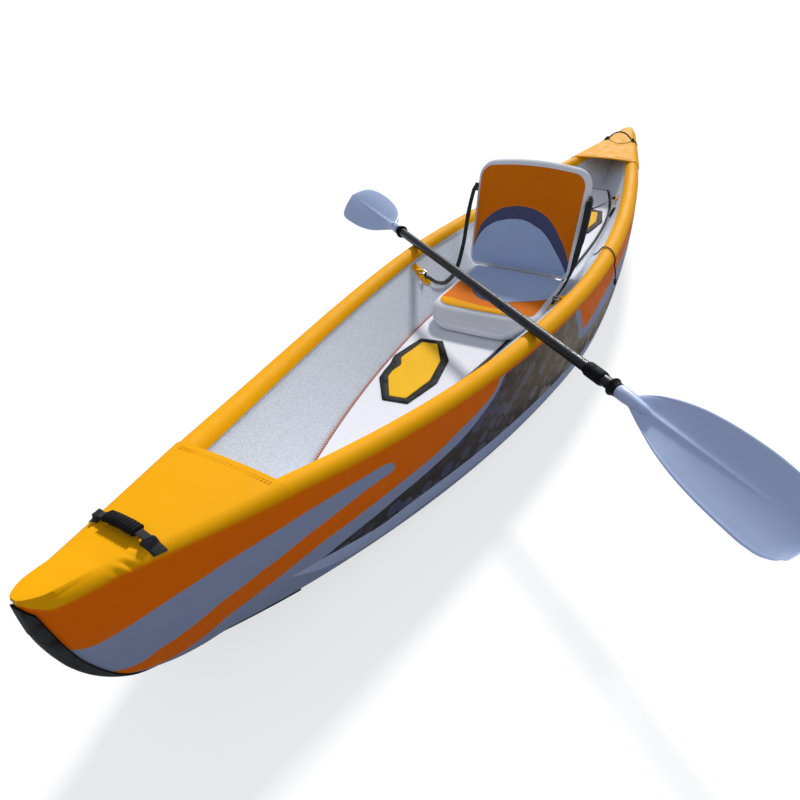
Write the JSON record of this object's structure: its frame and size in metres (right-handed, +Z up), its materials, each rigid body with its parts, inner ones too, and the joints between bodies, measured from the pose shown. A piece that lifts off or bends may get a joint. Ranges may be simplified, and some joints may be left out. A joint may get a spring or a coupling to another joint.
{
  "type": "inflatable canoe",
  "caption": "Orange and grey inflatable canoe with a padded seat, webbing handles and a double-bladed paddle lying across it",
  "frame": {"origin": "middle of the flat bottom", "axes": "+X to the bow, +Y to port, +Z up"},
  "size_m": [3.6026, 1.9065, 0.5837],
  "materials": {
    "orange_fabric": "matt coated fabric",
    "floor_vinyl": "coated fabric",
    "white_foam": "soft foam mat",
    "black_webbing": "woven webbing",
    "black_rubber": "matt",
    "seat_foam": "padded cover",
    "seat_cover": "printed cover",
    "pad_foam": "grooved foam",
    "black_plastic": "satin",
    "shaft_fibre": "satin",
    "blade_plastic": "satin",
    "stainless": "brushed"
  },
  "bodies": {
    "hull": {"side_chamber_port": "orange_fabric", "side_chamber_starboard": "orange_fabric", "foredeck": "orange_fabric", "afterdeck": "orange_fabric", "front_ring_port_patch": "orange_fabric", "front_ring_starboard_patch": "orange_fabric", "rear_ring_port_patch": "orange_fabric", "rear_ring_starboard_patch": "orange_fabric", "floor_chamber": "floor_vinyl", "bow_guard": "black_rubber", "stern_guard": "black_rubber", "floor_mat": "white_foam", "mat_piping": "black_webbing", "front_pad_border": "black_webbing", "rear_pad_border": "black_webbing", "bow_handle_patch_port": "black_webbing", "bow_handle_patch_starboard": "black_webbing", "stern_handle_patch_port": "black_webbing", "stern_handle_patch_starboard": "black_webbing", "front_strap_port": "black_webbing", "front_strap_starboard": "black_webbing", "rear_strap_port": "black_webbing", "rear_strap_starboard": "black_webbing", "leash_cord": "black_webbing", "front_pad": "pad_foam", "rear_pad": "pad_foam", "valve_port_body": "black_plastic", "valve_starboard_body": "black_plastic", "valve_floor_body": "black_plastic", "front_hook_port": "black_plastic", "front_hook_starboard": "black_plastic", "leash_clip": "black_plastic", "front_ring_port": "stainless", "front_ring_starboard": "stainless", "seat_base": "seat_foam", "seat_bolster": "seat_foam", "seat_cover": "seat_cover"},
    "backrest": {"seat_back": "seat_foam", "seat_back_cover": "seat_cover", "buckle_port": "black_plastic", "buckle_starboard": "black_plastic"},
    "bow_handle": {"bow_handle_strap": "black_webbing", "bow_handle_grip": "black_rubber"},
    "stern_handle": {"stern_handle_loop": "black_webbing"},
    "paddle": {"shaft": "shaft_fibre", "clamp_sleeve": "black_rubber", "blade_far": "blade_plastic"},
    "feathered_blade": {"near_tube": "shaft_fibre", "blade_near": "blade_plastic"},
    "far_ring": {"drip_ring_far": "black_rubber"},
    "near_ring": {"drip_ring_near": "black_rubber"},
    "valve_port_lid": {"valve_port_cap": "black_plastic"},
    "valve_port_stem": {"valve_port_plunger": "black_plastic"},
    "valve_starboard_lid": {"valve_starboard_cap": "black_plastic"},
    "valve_starboard_stem": {"valve_starboard_plunger": "black_plastic"},
    "valve_floor_lid": {"valve_floor_cap": "black_plastic"},
    "valve_floor_stem": {"valve_floor_plunger": "black_plastic"}
  },
  "joints": [
    {"name": "backrest_fold", "type": "hinge", "parent": "hull", "child": "backrest", "pos_m": [-0.205, 0.008, 0.2033], "axis": [0, 1, 0], "range_deg": [-12, 28], "deforming": ["front_strap_port", "front_strap_starboard", "rear_strap_port", "rear_strap_starboard"]},
    {"name": "bow_handle_swing", "type": "hinge", "parent": "hull", "child": "bow_handle", "pos_m": [1.60801, 0, 0.44336], "axis": [0, 1, 0], "range_deg": [-55, 55], "stiffness_Nm_per_rad": 0.15},
    {"name": "stern_handle_swing", "type": "hinge", "parent": "hull", "child": "stern_handle", "pos_m": [-1.60924, 0, 0.39223], "axis": [0, 1, 0], "range_deg": [-55, 55], "stiffness_Nm_per_rad": 0.08},
    {"name": "paddle_lift", "type": "slide", "parent": "hull", "child": "paddle", "axis": [0, 0, 1], "range_m": [0, 0.25]},
    {"name": "blade_feather", "type": "hinge", "parent": "paddle", "child": "feathered_blade", "pos_m": [0.67788, 0.58449, 0.33277], "axis": [0.5892, 0.808, 0.0043], "range_deg": [-60, 60]},
    {"name": "far_ring_slide", "type": "slide", "parent": "paddle", "child": "far_ring", "axis": [0.5892, 0.808, 0.0043], "range_m": [-0.002, 0.05]},
    {"name": "near_ring_slide", "type": "slide", "parent": "feathered_blade", "child": "near_ring", "axis": [-0.5892, -0.808, -0.0043], "range_m": [-0.002, 0.012]},
    {"name": "valve_port_cap_lift", "type": "slide", "parent": "hull", "child": "valve_port_lid", "axis": [0.1619, -0.9086, 0.385], "range_m": [0, 0.03]},
    {"name": "valve_port_press", "type": "slide", "parent": "hull", "child": "valve_port_stem", "axis": [-0.1619, 0.9086, -0.385], "range_m": [0, 0.004], "stiffness_N_per_m": 400},
    {"name": "valve_starboard_cap_lift", "type": "slide", "parent": "hull", "child": "valve_starboard_lid", "axis": [0.1619, 0.9086, 0.385], "range_m": [0, 0.03]},
    {"name": "valve_starboard_press", "type": "slide", "parent": "hull", "child": "valve_starboard_stem", "axis": [-0.1619, -0.9086, -0.385], "range_m": [0, 0.004], "stiffness_N_per_m": 400},
    {"name": "valve_floor_cap_lift", "type": "slide", "parent": "hull", "child": "valve_floor_lid", "axis": [0.0086, 0, 1], "range_m": [0, 0.03]},
    {"name": "valve_floor_press", "type": "slide", "parent": "hull", "child": "valve_floor_stem", "axis": [-0.0086, 0, -1], "range_m": [0, 0.004], "stiffness_N_per_m": 400}
  ]
}
